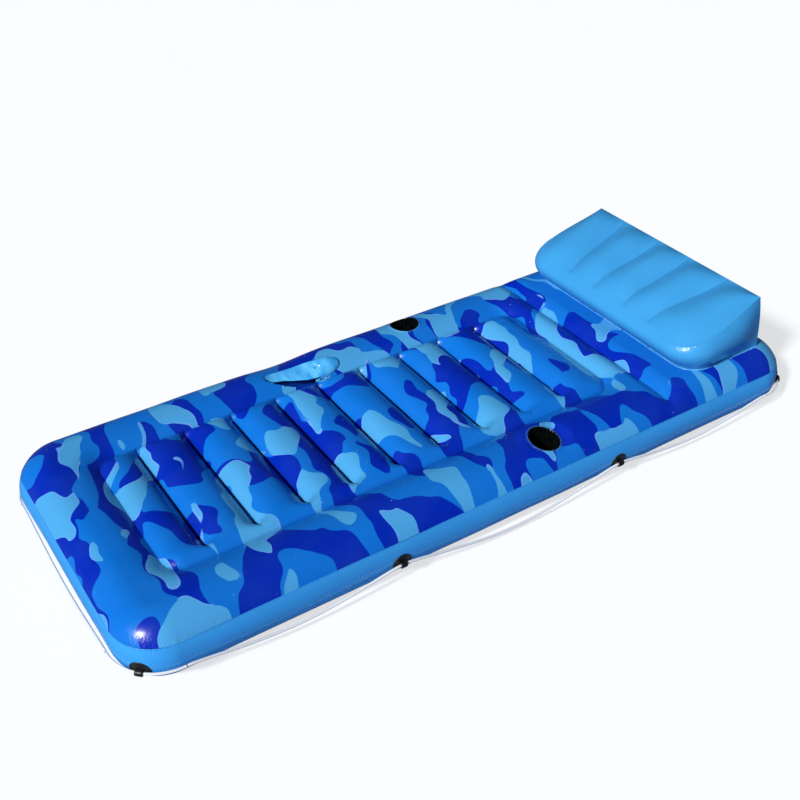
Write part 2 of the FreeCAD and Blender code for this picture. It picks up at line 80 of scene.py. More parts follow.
def soft_min(a, b):
    """Smooth lesser of two positive numbers."""
    return (a ** -4 + b ** -4) ** -0.25


def rect_distance(x, y, cx, hx, hy, r):
    """Signed distance outside a rounded rectangle in plan."""
    qx = np.abs(x - cx) - (hx - r)
    qy = np.abs(y) - (hy - r)
    return np.hypot(np.maximum(qx, 0), np.maximum(qy, 0)) + np.minimum(np.maximum(qx, qy), 0) - r


def ripple(x, y, wave, seed, parts=14):
    """Smooth random field of about unit strength."""
    rng = np.random.default_rng(seed)
    total = np.zeros(np.shape(x))
    for _ in range(parts):
        turn = rng.uniform(0, 2 * math.pi)
        k = 2 * math.pi / wave * rng.uniform(0.6, 1.5)
        total += np.cos(x * k * math.cos(turn) + y * k * math.sin(turn) + rng.uniform(0, 2 * math.pi))
    return total / math.sqrt(parts / 2)


# ---- mesh building
def quads(rows, cols, start=0, flip=False, wrap=False):
    """Faces of a rows by cols grid of points."""
    i = np.arange(rows - 1)[:, None]
    j = np.arange(cols if wrap else cols - 1)[None, :]
    k = (j + 1) % cols
    f = np.stack([i * cols + j, i * cols + k, (i + 1) * cols + k, (i + 1) * cols + j], -1).reshape(-1, 4)
    return (f[:, ::-1] if flip else f) + start


def weld(points, faces, values=None):
    """Joins points that coincide, and turns the quads that collapse into triangles."""
    points = np.asarray(points, float)
    keys = np.round(points / 0.002).astype(np.int64)
    _, first, back = np.unique(keys, axis=0, return_index=True, return_inverse=True)
    back = back.reshape(-1)
    out = []
    for f in back[np.asarray(faces)].tolist():
        g = [v for n, v in enumerate(f) if v != f[n - 1]]
        if len(g) > 2:
            out.append(g)
    kept = None if values is None else {n: np.asarray(v)[first] for n, v in values.items()}
    return points[first], out, kept


def add_object(name, data):
    """New object in the scene."""
    ob = bpy.data.objects.new(name, data)
    bpy.context.scene.collection.objects.link(ob)
    return ob


def piece(name, points, faces, material, body="root", values=None, replaces=(), sharp=None):
    """One smooth-shaded mesh piece from points in millimetres."""
    me = bpy.data.meshes.new(name)
    me.from_pydata((np.asarray(points, float) * MM).tolist(), [], [list(map(int, f)) for f in faces])
    me.validate()
    for key, v in (values or {}).items():
        layer = me.attributes.new(key, "FLOAT", "POINT")
        layer.data.foreach_set("value", np.asarray(v, np.float32))
    me.polygons.foreach_set("use_smooth", [True] * len(me.polygons))
    if sharp is not None:
        ends = np.zeros(len(me.edges) * 2, np.int32)
        me.edges.foreach_get("vertices", ends)
        ends = ends.reshape(-1, 2)
        marks = me.attributes.new("sharp_edge", "BOOLEAN", "EDGE")
        marks.data.foreach_set("value", sharp[ends[:, 0]] & sharp[ends[:, 1]])
    me.materials.append(material)
    ob = add_object(name, me)
    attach(ob, body)
    if replaces:
        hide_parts(*replaces)
    return ob


# ---- mattress surface
def inset(x, y):
    """Distance inside the mattress's outline in plan."""
    return -rect_distance(x, y, 0, HALF_LENGTH, HALF_WIDTH, CORNER)


def field_line(x, y):
    """Signed distance outside the weld line round the cross lobes."""
    return rect_distance(x, y, FIELD_MID, FIELD_REACH, FIELD_HALF, FIELD_CORNER)


def arch(x):
    """Height share of the cross lobes' arcs along the mattress, 0 in a valley and 1 on a crest."""
    t = np.abs(((x - FIELD_HEAD) / PITCH) % 1.0 * 2 - 1)
    return np.maximum(1 - t ** 2.1, 0) ** 0.86


def top_height(x, y):
    """Height of the mattress's upper skin."""
    x, y = np.asarray(x, float), np.asarray(y, float)
    s, w = inset(x, y), field_line(x, y)
    # ring of side tubes, with the cross tube and groove in front of the pillow
    reach = mix(np.clip(s + w - TUBE, 60.0, 84.0), 50.0, step(470, 545, x))
    rise = 1 - (1 - np.clip(w / reach, 0, 1)) ** 2.2
    dip = (1 - np.clip(np.abs(x - GROOVE_X) / 58.0, 0, 1)) ** 2.1
    dip = dip * (1 - step(20, 92, TUBE - s))
    edge = np.sqrt(1 - np.clip((TUBE - s) / TUBE, 0, 1) ** 2)
    ring = TUBE + (VALLEY - TUBE + (TOP - VALLEY) * rise * (1 - dip)) * edge
    # cross lobes, which round down to the weld line and run together near their ends
    inside = np.maximum(-w, 1e-6)
    end = np.maximum(1 - (1 - np.clip(inside / 58.0, 0, 1)) ** 2.3, 1e-6)
    joined = step(196, 250, 4 * ripple(x, y * 0, 420, 11) - y)
    lobe = np.maximum(mix(arch(x), 0.66 + 0.34 * arch(x), joined), 1e-6)
    field = VALLEY + (CREST + 1.5 - VALLEY) * soft_min(lobe, end)
    field = field - 20 * (1 - lobe) ** 1.1 * (1 - joined) * step(0, mix(45, 28, step(0, 60, y)), inside)
    z = np.where(w > 0, ring, field)
    # the rim of the near drink well lies flat, leaning out and towards the head
    shelf = 201 - 0.12 * (x - CUP_X) + 0.20 * (y + CUP_Y)
    z = mix(z, shelf, (1 - step(52, 90, np.hypot(x - CUP_X, y + CUP_Y))) * step(22, 46, s))
    # the film sags behind the pocket, and its near lip droops
    sag = 14 * np.exp(-((x + 290) / 95) ** 2 - ((y - 395) / 75) ** 2)
    droop = 6 * np.exp(-((x + 268) / 75) ** 2 - ((y - 272) / 26) ** 2)
    z = z - sag * np.clip(s / 40, 0, 1) * step(0, 40, w) - droop * step(0, 12, w)
    # unevenness of inflated film
    calm = np.clip(w / 60, 0, 1) * np.clip(s / 60, 0, 1)
    z = z + 0.9 * ripple(x, y, 330, 5) * calm
    soft = np.clip(-w / 60, 0, 1) * np.clip(arch(x), 0, 1)
    return z + 0.8 * ripple(x, y, 190, 6) * soft


def perimeter(xs):
    """Closed loop of base points and outward headings, anticlockwise from the foot end of the near side."""
    loop = [(x, -BASE_Y, 0.0, -1.0) for x in xs]

    def corner(cx, cy, start):
        for n in range(1, TURNS + 1):
            a = math.radians(start + 90.0 * n / TURNS)
            loop.append((cx, cy, math.cos(a), math.sin(a)))

    corner(BASE_X, -BASE_Y, -90)
    loop.extend((BASE_X, y, 1.0, 0.0) for y in YS[1:])
    corner(BASE_X, BASE_Y, 0)
    loop.extend((x, BASE_Y, 0.0, 1.0) for x in xs[::-1][1:])
    corner(-BASE_X, BASE_Y, 90)
    loop.extend((-BASE_X, y, -1.0, 0.0) for y in YS[::-1][1:])
    corner(-BASE_X, -BASE_Y, 180)
    return np.array(loop[:-1])


def loop_length(loop):
    """Distance round the mattress's edge for each loop point, measured on the seam."""
    p = loop[:, :2] + loop[:, 2:] * (CREST_OFFSET + TUBE)
    return np.concatenate([[0], np.cumsum(np.hypot(*np.diff(p, axis=0).T))])


def snap(x, y, distance, reach):
    """Moves points within reach of a curve onto it; distance is the curve's signed distance function."""
    for _ in range(2):
        d = distance(x, y)
        e = 0.01
        gx = (distance(x + e, y) - distance(x - e, y)) / (2 * e)
        gy = (distance(x, y + e) - distance(x, y - e)) / (2 * e)
        n = np.maximum(gx * gx + gy * gy, 1e-9)
        near = np.abs(d) < reach * np.sqrt(n)
        x = np.where(near, x - d * gx / n, x)
        y = np.where(near, y - d * gy / n, y)
    return x, y


XS = np.concatenate([[-BASE_X], np.arange(-1008.0, 1009.0, 5.0), [BASE_X]])
YS_HALF = np.concatenate([np.linspace(0, FIELD_HALF, 45), np.linspace(FIELD_HALF, BASE_Y, 12)[1:]])
YS = np.concatenate([-YS_HALF[::-1], YS_HALF[1:]])
TURNS = 26


def cup_line(x, y):
    """Signed distance outside the hole round each drink well."""
    return np.hypot(x - CUP_X, np.abs(y) - CUP_Y) - (CUP_R + 3)


def pocket_bend(x):
    """How far the slack mouth of the pocket strays outwards along its length."""
    t = (x - MOUTH[0]) / MOUTH[2]
    return 26 * np.clip(-t, 0, 1.2) ** 1.6 - 8 * np.clip(t, 0, 1.2)


def pocket_line(x, y):
    """Signed distance, near enough, outside the pocket's mouth."""
    cx, cy, a, b = MOUTH
    y = y - pocket_bend(x)
    k = np.hypot((x - cx) / a, (y - cy) / b)
    g = np.hypot((x - cx) / a ** 2, (y - cy) / b ** 2)
    return (k - 1) * k / np.maximum(g, 1e-6)


def top_sheet(material):
    """Printed upper film with the holes for the drink wells and the pocket."""
    loop = perimeter(XS)
    angles = np.radians(np.linspace(90, SEAM_ANGLE, 18)[1:])
    offsets = np.concatenate([np.linspace(0, CREST_OFFSET, 7), CREST_OFFSET + TUBE * np.cos(angles)])
    gx, gy = np.meshgrid(XS, YS)
    rx = loop[None, :, 0] + loop[None, :, 2] * offsets[:, None]
    ry = loop[None, :, 1] + loop[None, :, 3] * offsets[:, None]
    x = np.concatenate([gx.ravel(), rx.ravel()])
    y = np.concatenate([gy.ravel(), ry.ravel()])
    ring = quads(len(offsets), len(loop), gx.size, flip=True, wrap=True)
    pts, faces, _ = weld(np.stack([x, y, x * 0], 1), np.concatenate([quads(len(YS), len(XS)), ring]))
    x, y = pts[:, 0], pts[:, 1]
    # away from the rim, points close to the weld line or to a hole's edge move onto it
    rim, sx, sy = inset(x, y) < 12, x, y
    for line, reach in ((field_line, 2.6), (cup_line, 3.0), (pocket_line, 3.0)):
        sx, sy = snap(sx, sy, line, reach)
    x, y = np.where(rim, x, sx), np.where(rim, y, sy)
    hole = (cup_line(x, y) < -0.05) | (pocket_line(x, y) < -0.05)
    faces = [f for f in faces if not hole[f].any()]
    s, w = inset(x, y), field_line(x, y)
    # the lowest row lies on the seam, level all round
    z = np.where(s < 11.2, TUBE + TUBE * math.sin(math.radians(SEAM_ANGLE)), top_height(x, y))
    crease = (np.abs(w) < 0.3) | (np.abs(x - GROOVE_X) < 0.3) & (s > 30)
    for v in VALLEYS:
        crease |= (np.abs(x - v) < 0.3) & (y > -214) & (w < 0)
    past_x, past_y = np.abs(x) - BASE_X, np.abs(y) - BASE_Y
    corner = step(-60, 40, np.hypot(np.maximum(past_x, 0), np.maximum(past_y, 0)) - 60)
    # the valley value is the mask of painted shade in the creases and along the weld line
    values = {"seam": np.exp(-np.maximum(s - 10.5, 0) / 9.0),
              "corner": corner * (past_x > 0) * (past_y > 0), "valley": crease_shade_mark(x, y, w)}
    return piece("mattress_top_film", np.stack([x, y, z], 1), faces, material,
                 values=values, replaces=["top_sheet"], sharp=crease)


def crease_shade_mark(x, y, w):
    """1 on the welded valley lines, fading within a few millimetres, for painted shade in the creases; weaker
    painted shade along the field's weld line.
    """
    d = np.abs((x - FIELD_HEAD + PITCH / 2) % PITCH - PITCH / 2)
    d = np.where((w < 2) & (y > -225), d, 99)
    return np.maximum(np.exp(-(d / 3.2) ** 2), 0.35 * np.exp(-(w / 3.0) ** 2))


def edge_ring(name, angles, lift, material, replaces, xs, floor=False):
    """Band of film round the tubes, one row of points per angle; lift is how proud each row stands."""
    loop = perimeter(xs)
    run = loop_length(loop)
    a = np.radians(angles)
    out = CREST_OFFSET + (TUBE + lift) * np.cos(a)
    high = TUBE + (TUBE + lift) * np.sin(a)
    if floor:
        inner = np.linspace(CREST_OFFSET, 0, 4)[1:]
        out = np.concatenate([out, inner])
        high = np.concatenate([high, inner * 0])
    x = loop[None, :, 0] + loop[None, :, 2] * out[:, None]
    y = loop[None, :, 1] + loop[None, :, 3] * out[:, None]
    z = np.repeat(high[:, None], len(loop), 1)
    arc = np.abs(loop[None, :, 2] * loop[None, :, 3]) * 2 + x * 0
    wave = ripple(run[None, :] + x * 0, z * 2.2, 300, 21) * np.cos((z - TUBE) / TUBE * math.pi / 2)
    x = x + loop[None, :, 2] * wave * 0.8
    y = y + loop[None, :, 3] * wave * 0.8
    up = np.exp(-np.abs(z - (TUBE + BAND)) / 9.0)
    down = np.exp(-np.abs(z - (TUBE - BAND)) / 9.0)
    pts = np.stack([x.ravel(), y.ravel(), np.maximum(z, 0.0).ravel()], 1)
    faces = quads(len(out), len(loop), flip=True, wrap=True)
    values = {"seam": np.maximum(up, down).ravel(), "corner": arc.ravel(), "valley": (x * 0).ravel()}
    if floor:
        gx, gy = np.meshgrid(xs, YS)
        start = len(pts)
        pts = np.concatenate([pts, np.stack([gx.ravel(), gy.ravel(), gx.ravel() * 0], 1)])
        faces = np.concatenate([faces, quads(len(YS), len(xs), start, flip=True)])
        values = {k: np.concatenate([v, np.zeros(gx.size)]) for k, v in values.items()}
    pts, faces, values = weld(pts, faces, values)
    return piece(name, pts, faces, material, values=values, replaces=replaces)


def side_wall(material):
    """Plain band round the tubes, standing a little proud at its two seams."""
    a = SEAM_ANGLE
    angles = np.concatenate([[a, a - 0.25, a - 0.8, a - 1.1], np.linspace(a - 2.2, -a + 2.2, 15),
                             [-a + 1.1, -a + 0.8, -a + 0.25, -a]])
    lift = np.zeros(len(angles))
    lift[[1, 2, -3, -2]] = 0.7
    return edge_ring("mattress_side_film", angles, lift, material, ["side_wall"], XS)


def bottom_sheet(material):
    """Film under the tubes and across the flat bottom."""
    xs = np.concatenate([XS[:1], XS[1:-1:4], XS[-1:]])
    angles = np.linspace(-SEAM_ANGLE, -90, 14)
    return edge_ring("mattress_under_film", angles, np.zeros(14), material, ["bottom_sheet"], xs, floor=True)


# ---- drink wells
def cup_circle(cy, t, r):
    """Plan points at angles t and radius r about a drink well."""
    return CUP_X + r * np.cos(t), cy + r * np.sin(t)


def drink_well(side, sign, film, ring_film):
    """Pleated black well hung from a pressed ring."""
    cy = sign * CUP_Y
    around = 24 * 10                                # ten points for each of the 24 pleats
    t = np.arange(around) / around * 2 * math.pi
    pleat = np.abs(np.sin(t * 12 + 0.35 * np.sin(3 * t))) ** 0.8
    bead = 2.4 + 0.8 * pleat
    rows = []
    # rolled lip, pleated wall, then wrinkled floor
    for turn in np.radians((10, 40, 65, 85, 100, 115, 130, 145, 160, 178)):
        x, y = cup_circle(cy, t, 47.4 + bead * math.cos(turn))
        rows.append(np.stack([x, y, top_height(x, y) - 1.2 + bead * math.sin(turn)], 1))
    for share in (0.03, 0.06, 0.12, 0.25, 0.4, 0.55, 0.7, 0.85, 0.95, 1.0):
        depth = step(0, 0.05, share) * (1 - 0.55 * step(0.8, 1.0, share))
        x, y = cup_circle(cy, t, CUP_R + 0.4 - 3.2 * depth * pleat - 3.0 * step(0.9, 1.0, share))
        rows.append(np.stack([x, y, mix(top_height(x, y) + 0.6, CUP_FLOOR + 0.8, share)], 1))
    for r, z in ((38.0, 1.4), (25.0, 0.7), (12.0, 1.2), (4.0, 0.9)):
        x, y = cup_circle(cy, t, r)
        rows.append(np.stack([x, y, CUP_FLOOR + z + 0.5 * np.sin(t * 12) * r / 47], 1))
    pts = np.concatenate(rows + [np.array([[CUP_X, cy, CUP_FLOOR + 1.0]])])
    faces = quads(len(rows), around, wrap=True, flip=True).tolist()
    last = (len(rows) - 1) * around
    faces += [[last + (n + 1) % around, last + n, len(pts) - 1][::-1] for n in range(around)]
    piece(f"drink_well_{side}", pts, faces, film,
          replaces=[f"cup_wall_{side}", f"cup_floor_{side}"])
    around = 96
    t = np.arange(around) / around * 2 * math.pi
    rows, lip_highlight_rows = [], []
    for r, h in ((48.6, -0.8), (48.6, 0.8), (49.2, 1.3), (50.0, 1.2),
                 (51.0, 0.6), (55.0, 0.4), (56.0, 0.2), (56.2, -0.4)):
        x, y = cup_circle(cy, t, r)
        rows.append(np.stack([x, y, top_height(x, y) + h], 1))
        # the inner rows carry the mask of the painted highlight on the lip
        lip_highlight_rows.append(t * 0 + (r < 50.5))
    flat = np.zeros(around * len(rows))
    piece(f"drink_well_ring_{side}", np.concatenate(rows), quads(len(rows), around, wrap=True, flip=True),
          ring_film, replaces=[f"cup_ring_{side}"],
          values={"lip": np.concatenate(lip_highlight_rows), "seam": flat, "corner": flat, "valley": flat})


# ---- pocket
def pocket(film):
    """Light-blue film well let into the far tube, with its slack head end bulging out of the mouth."""
    cx, cy, a, b = MOUTH
    around, rows, recess_shade = 600, [], []
    t = np.arange(around) / around * 2 * math.pi
    rim = cx + a * np.cos(t)
    mouth = top_height(rim, cy + b * np.sin(t) + pocket_bend(rim))
    # the far wall leans across as a panel and folds back; the head end puffs up into a lobe
    far = step(-0.02, 0.25, np.sin(t))
    turn = np.abs((t + math.pi) % (2 * math.pi) - math.pi)
    lobe = 1 - step(0.88, 1.16, turn)
    panel = far * (1 - lobe)
    reach = mix(0.36, 0.90, step(-0.75, 0.40, np.cos(t)))
    # a sharp fold parts the panel from the lobe; painted shade darkens the film along it
    fold_line = np.exp(-((turn - 1.04) / 0.032) ** 2) * (np.sin(t) > 0)
    for share in (0.0, 0.02, 0.04, 0.07, 0.1, 0.13, 0.16, 0.2, 0.24, 0.28,
                  0.32, 0.36, 0.4, 0.46, 0.54, 0.64, 0.76, 0.88, 0.96, 1.0):
        lean = np.clip(share / 0.30, 0, 1) ** 1.1 - 0.75 * step(0.30, 0.42, share)
        puff = np.sin(math.pi * np.clip(share / 0.5, 0, 1))
        draw = 1 - 0.18 * share - lobe * (0.50 * step(0.05, 0.34, share) - 0.30 * step(0.45, 0.8, share))
        fade = 1 - step(0.5, 0.7, share)
        crease = panel * 0.9 * np.sin(17 * t + 12 * share) * step(0.06, 0.26, share) * fade
        x = cx + a * draw * np.cos(t) + crease
        y = cy + b * draw * np.sin(t) * (1 - 2 * panel * lean * reach) + crease * 0.6
        ridge = np.sin(x * 0.40 + 0.5 * np.sin(y * 0.16)) + 0.4 * np.sin(x * 0.9 + y * 0.05 + 1.0)
        ridge = ridge * 1.8 * lobe * step(-0.7, 0.0, np.sin(t)) * step(0.0, 0.10, share) * fade
        fold = fold_line * step(0.02, 0.10, share) * (1 - step(0.4, 0.6, share))
        z = mix(mouth + 0.5, 140.0 + 0 * t, share) + 25 * lobe * puff + ridge - 9 * fold
        rows.append(np.stack([x, y + pocket_bend(x), z], 1))
        # painted shade: all but the upper panel and the lobe, and the fold line, take the navy of the shaded
        # well
        light = np.maximum(panel, lobe) * (1 - step(0.0, 0.04, share - np.where(lobe > 0.5, 0.55, 0.31)))
        recess_shade.append(1 - light * (1 - fold))
    for draw in (0.6, 0.4, 0.2, 0.05):
        x, y = cx + a * draw * np.cos(t), cy + b * draw * np.sin(t)
        rows.append(np.stack([x, y + pocket_bend(x), 139.5 + 1.5 * ripple(x, y, 70, 31)], 1))
        # painted shade over the whole floor of the well
        recess_shade.append(1 + 0 * t)
    pts = np.concatenate(rows + [np.array([[cx, cy + float(pocket_bend(cx)), 139.5]])])
    faces = quads(len(rows), around, wrap=True, flip=True).tolist()
    last = (len(rows) - 1) * around
    faces += [[last + n, last + (n + 1) % around, len(pts) - 1] for n in range(around)]
    piece("pocket_well", pts, faces, film, replaces=["pocket_liner"],
          values={"recess_shade": np.concatenate(recess_shade + [[1.0]])})


# ---- pillow
P_FRONT, P_SEAM_Z, P_REAR, P_REAR_Z = 704.0, 300.0, 1010.0, 398.0
P_BASE_FRONT, P_BASE_REAR, P_BASE_Z = 745.0, 1040.0, 208.9
P_HALF, P_REAR_HALF, P_BASE_HALF = 384.0, 368.0, 371.0
P_ROUND, P_BASE_ROUND = 88.0, 70.0              # radius of the front corners at the seam and at the base
P_GROOVE_FRONT, P_GROOVE_REAR = 717.0, 1005.0
GROOVES = ((-186.0, -238.0), (-69.0, -69.0), (69.0, 69.0), (186.0, 238.0))      # y at front and rear end


def pillow_side(x):
    """Half-width of the pillow's seam loop along its length."""
    return mix(P_HALF, P_REAR_HALF, step(820, 1010, x))


def pillow_seam(x):
    """Height of the seam round the pillow's upper film."""
    return P_SEAM_Z + (P_REAR_Z - P_SEAM_Z) * (x - P_FRONT) / (P_REAR - P_FRONT)


def pillow_front(y):
    """Where the front seam lies at y across the pillow, round its corners too."""
    over = np.clip(np.abs(y) - (P_HALF - P_ROUND), 0, P_ROUND)
    return P_FRONT + P_ROUND - np.sqrt(P_ROUND ** 2 - over ** 2)


def groove_lines(x):
    """Where the four grooves lie across the pillow, at x along it."""
    run = np.clip((x - P_GROOVE_FRONT) / (P_GROOVE_REAR - P_GROOVE_FRONT), 0, 1)
    return [mix(front, rear, run) for front, rear in GROOVES]


def pillow_height(x, y, u, v):
    """Height of the upper film at x, y; u runs across from -1 to 1, and v from front to rear in 0 to 1."""
    front = 1 - (1 - np.clip(v / 0.42, 0, 1)) ** 2.8
    rear = np.maximum(1 - np.clip((v - 0.30) / 0.70, 0, 1) ** 3.0, 1e-6)
    reach = mix(0.42, 0.30, step(0.3, 0.8, v))
    side = np.maximum(1 - (1 - np.clip((1 - np.abs(u)) / reach, 0, 1)) ** 2.4, 1e-6)
    bulge = 36.0 * front * 1.19 * soft_min(rear, side)
    edges = [-P_HALF - 40 + 0 * x] + groove_lines(x) + [P_HALF + 40 + 0 * x]
    arc = np.zeros(np.shape(x))
    for lo, hi in zip(edges, edges[1:]):
        t = (y - lo) / (hi - lo) * 2 - 1
        arc = np.where((y >= lo) & (y <= hi), 1 - np.abs(t) ** 1.9, arc)
    depth = mix(0.50, 1.0, step(0.1, 0.8, v)) * step(0.0, 0.09, v)
    uneven = 0.5 * ripple(x, y, 160, 41) * front * rear * side
    return pillow_seam(x) + bulge * (1 - depth * (1 - arc)) + uneven


def strips(name, runs, low, film, replaces):
    """Upright film strips, each along a plan run of x, y and the height of its upper edge."""
    pts, faces = [], []
    for x, y, high in runs:
        start, count = sum(map(len, pts)), len(x)
        path = np.stack([x, y], 1)
        out = headings(path) * 0.3
        sway = 0.8 * np.sin(np.arange(count) * 0.7)
        for share in (0.0, 0.5, 1.0):
            for sign in (-1, 1):
                xy = path + out * sign + out * (sway * 2 * share * (1 - share))[:, None]
                pts.append(np.stack([xy[:, 0], xy[:, 1], mix(low, high, share)], 1))
        i = np.arange(count - 1) + start
        for a, b in ((0, 2), (2, 4), (4, 5), (5, 3), (3, 1), (1, 0)):
            faces += np.stack([i + a * count, i + a * count + 1, i + b * count + 1, i + b * count], 1).tolist()
    return piece(name, np.concatenate(pts), faces, film, replaces=replaces)


def webs(film):
    """The strips inside the mattress and the pillow that hold their films together."""
    def under_top(x, y):
        """Run whose upper edge lies just under the top film."""
        return x, y, top_height(x, y) - 3

    y = np.linspace(-236, 236, 90)
    strips("cross_web_strips", [under_top(v + 0 * y, y) for v in VALLEYS[1:]], 1.2, film, ["cross_webs"])
    y = np.linspace(-355, 355, 90)
    strips("head_web_strip", [under_top(GROOVE_X + 0 * y, y)], 1.2, film, ["head_web"])
    a = np.linspace(0, 2 * math.pi, 361)
    cx, cy = FIELD_REACH - FIELD_CORNER, FIELD_HALF - FIELD_CORNER
    x = FIELD_MID + cx * np.sign(np.round(np.cos(a), 6)) + FIELD_CORNER * np.cos(a)
    y = cy * np.sign(np.round(np.sin(a), 6)) + FIELD_CORNER * np.sin(a)
    strips("perimeter_web_band", [under_top(x, y)], 1.2, film, ["perimeter_web"])
    runs = []
    run = np.linspace(0.06, 0.94, 60)
    for f, r in GROOVES:
        x, y = mix(P_GROOVE_FRONT, P_GROOVE_REAR, run), mix(f, r, run)
        side = pillow_side(x)
        front = pillow_front(y / side * P_HALF)
        runs.append((x, y, pillow_height(x, y, y / side, (x - front) / (P_REAR - front)) - 2.5))
    strips("pillow_web_strips", runs, 210.5, film, ["pillow_webs"])


def pillow_top(film):
    """Upper film with five lobes between the four grooves."""
    flat = P_HALF - P_ROUND
    across = np.arange(0.0, flat, 4.2)
    across = np.concatenate([across, flat + P_ROUND * np.sin(np.radians(np.linspace(0, 90, 26)))])
    across = np.concatenate([-across[::-1], across[1:]])
    along = np.concatenate([np.linspace(0, 0.1, 10), np.linspace(0.1, 0.9, 52)[1:],
                            np.linspace(0.9, 1, 9)[1:]])
    u, v = np.meshgrid(across / P_HALF, along)
    x = mix(pillow_front(across), P_REAR, v)
    y = u * pillow_side(x)
    z = pillow_height(x, y, u, v)
    pts = np.stack([x.ravel(), y.ravel(), z.ravel()], 1)
    seam = np.exp(-np.minimum(v * 300, (1 - np.abs(u)) * P_HALF) / 7.0)
    corner = step(240, 330, np.abs(y)) * (1 - step(0.25, 0.6, v))
    values = {"seam": seam.ravel(), "corner": corner.ravel(), "valley": groove_shade_mark(x, y, v).ravel()}
    piece("pillow_top_film", pts, quads(len(along), len(across), flip=True), film,
          values=values, replaces=["pillow_top_sheet"])


def groove_shade_mark(x, y, v):
    """Strongest on the pillow's welded grooves, fading within a few millimetres: painted shade in the grooves.
    """
    d = np.min([np.abs(y - line) for line in groove_lines(x)], axis=0)
    return 0.45 * np.exp(-(d / 2.6) ** 2) * step(0.02, 0.12, v)


def pillow_loops():
    """Matching loops of the seam and the base, from the rear near corner round the front to the far one."""
    top, base, swell = [], [], []
    flat, base_flat = P_HALF - P_ROUND, P_BASE_HALF - P_BASE_ROUND
    turns = 26
    for x in np.linspace(P_REAR, P_FRONT + P_ROUND, 54):
        share = (P_REAR - x) / (P_REAR - P_FRONT - P_ROUND)
        top.append((x, -float(pillow_side(x))))
        base.append((mix(P_BASE_REAR, P_BASE_FRONT + P_BASE_ROUND, share), -P_BASE_HALF))
        swell.append(2.0 + 25.0 * math.sin(math.pi / 2 * min(share / 0.55, 1.0)))
    for n in range(1, turns + 1):
        a = math.radians(90 * n / turns)
        top.append((P_FRONT + P_ROUND * (1 - math.sin(a)), -flat - P_ROUND * math.cos(a)))
        base.append((P_BASE_FRONT + P_BASE_ROUND * (1 - math.sin(a)), -base_flat - P_BASE_ROUND * math.cos(a)))
        swell.append(27.0)
    mirror = [(x, -y) for x, y in top[::-1]]
    mirror_base = [(x, -y) for x, y in base[::-1]]
    mids = np.linspace(-flat, flat, 120)[1:-1]
    base_mid = np.linspace(-base_flat, base_flat, 120)[1:-1]
    top += [(P_FRONT, y) for y in mids] + mirror
    base += [(P_BASE_FRONT, y) for y in base_mid] + mirror_base
    swell += [27.0] * len(mids) + swell[::-1]
    return np.array(top), np.array(base), np.array(swell)


def headings(loop, sign=1.0):
    """Outward unit headings along an open loop that runs with the inside on its left."""
    run = np.gradient(loop, axis=0)
    run /= np.maximum(np.hypot(run[:, 0], run[:, 1]), 1e-9)[:, None]
    return np.stack([run[:, 1], -run[:, 0]], 1) * sign


def pillow_wall(film, name, top, base, top_z, base_z, swell, out, replaces=()):
    """Wall between a seam loop and a base loop, bulging by swell along the headings out."""
    shares = np.concatenate([np.linspace(0, 0.1, 6), np.linspace(0.1, 1.0, 26)[1:]])
    rows, seams = [], []
    for q in shares:
        p = mix(top, base, q)
        bow = 4 * q * (1 - q) * (1.25 - 0.6 * q)
        proud = 0.6 * math.exp(-((q * 100 - 1.5) / 1.0) ** 2)
        xy = p + out * (swell * bow + proud)[:, None]
        z = mix(top_z, base_z, q) + 0 * xy[:, 0]
        rows.append(np.stack([xy[:, 0], xy[:, 1], z], 1))
        seams.append(np.exp(-q * (top_z - base_z) / 7.0))
    pts = np.concatenate(rows)
    corner = step(200, 300, np.abs(top[:, 1])) * (1 - step(820, 900, top[:, 0]))
    values = {"seam": np.concatenate(seams), "corner": np.tile(corner, len(shares)),
              "valley": np.zeros(len(pts))}
    piece(name, pts, quads(len(shares), len(top)), film, values=values, replaces=replaces)


def pillow(film, weld):
    """Upper film, front and side walls, rear wall, and the base film with its weld flange."""
    pillow_top(film)
    top, base, swell = pillow_loops()
    out = headings(top, -1.0)
    out[0], out[-1] = (0, -1), (0, 1)
    pillow_wall(film, "pillow_gusset_film", top, base, pillow_seam(top[:, 0]), P_BASE_Z, swell, out,
                ["pillow_gusset"])
    y = np.linspace(-1, 1, 140)
    rear_top = np.stack([y * 0 + P_REAR, y * P_REAR_HALF], 1)
    rear_base = np.stack([y * 0 + P_BASE_REAR, y * P_BASE_HALF], 1)
    rear_out = np.stack([y * 0 + 1.0, y * 0], 1)
    rear_out[0], rear_out[-1] = (0, -1), (0, 1)
    rear_swell = 5.0 + 17.0 * (1 - np.abs(y) ** 6)
    pillow_wall(film, "pillow_rear_film", rear_top[::-1], rear_base[::-1], y * 0 + P_REAR_Z, P_BASE_Z,
                rear_swell[::-1], rear_out[::-1])
    # base film and its weld flange on the mattress
    loop = np.concatenate([base, rear_base[::-1][1:-1]])
    out = headings(np.concatenate([loop[-1:], loop, loop[:1]]), -1.0)[1:-1]
    rows = []
    for r, h in ((-14, 0.9), (-2, 0.9), (0.5, 1.0), (3.6, 0.8), (5.2, 0.5), (5.6, -0.3)):
        p = loop + out * r
        z = np.maximum(top_height(p[:, 0], p[:, 1]), 200) + h
        rows.append(np.stack([p[:, 0], p[:, 1], z], 1))
    mid = np.array([[900.0, 0.0, P_BASE_Z]])
    pts = np.concatenate(rows + [mid])
    faces = quads(len(rows), len(loop), wrap=True).tolist()
    faces += [[n, (n + 1) % len(loop), len(pts) - 1][::-1] for n in range(len(loop))]
    piece("pillow_base_weld", pts, faces, weld, replaces=["pillow_base_sheet"])


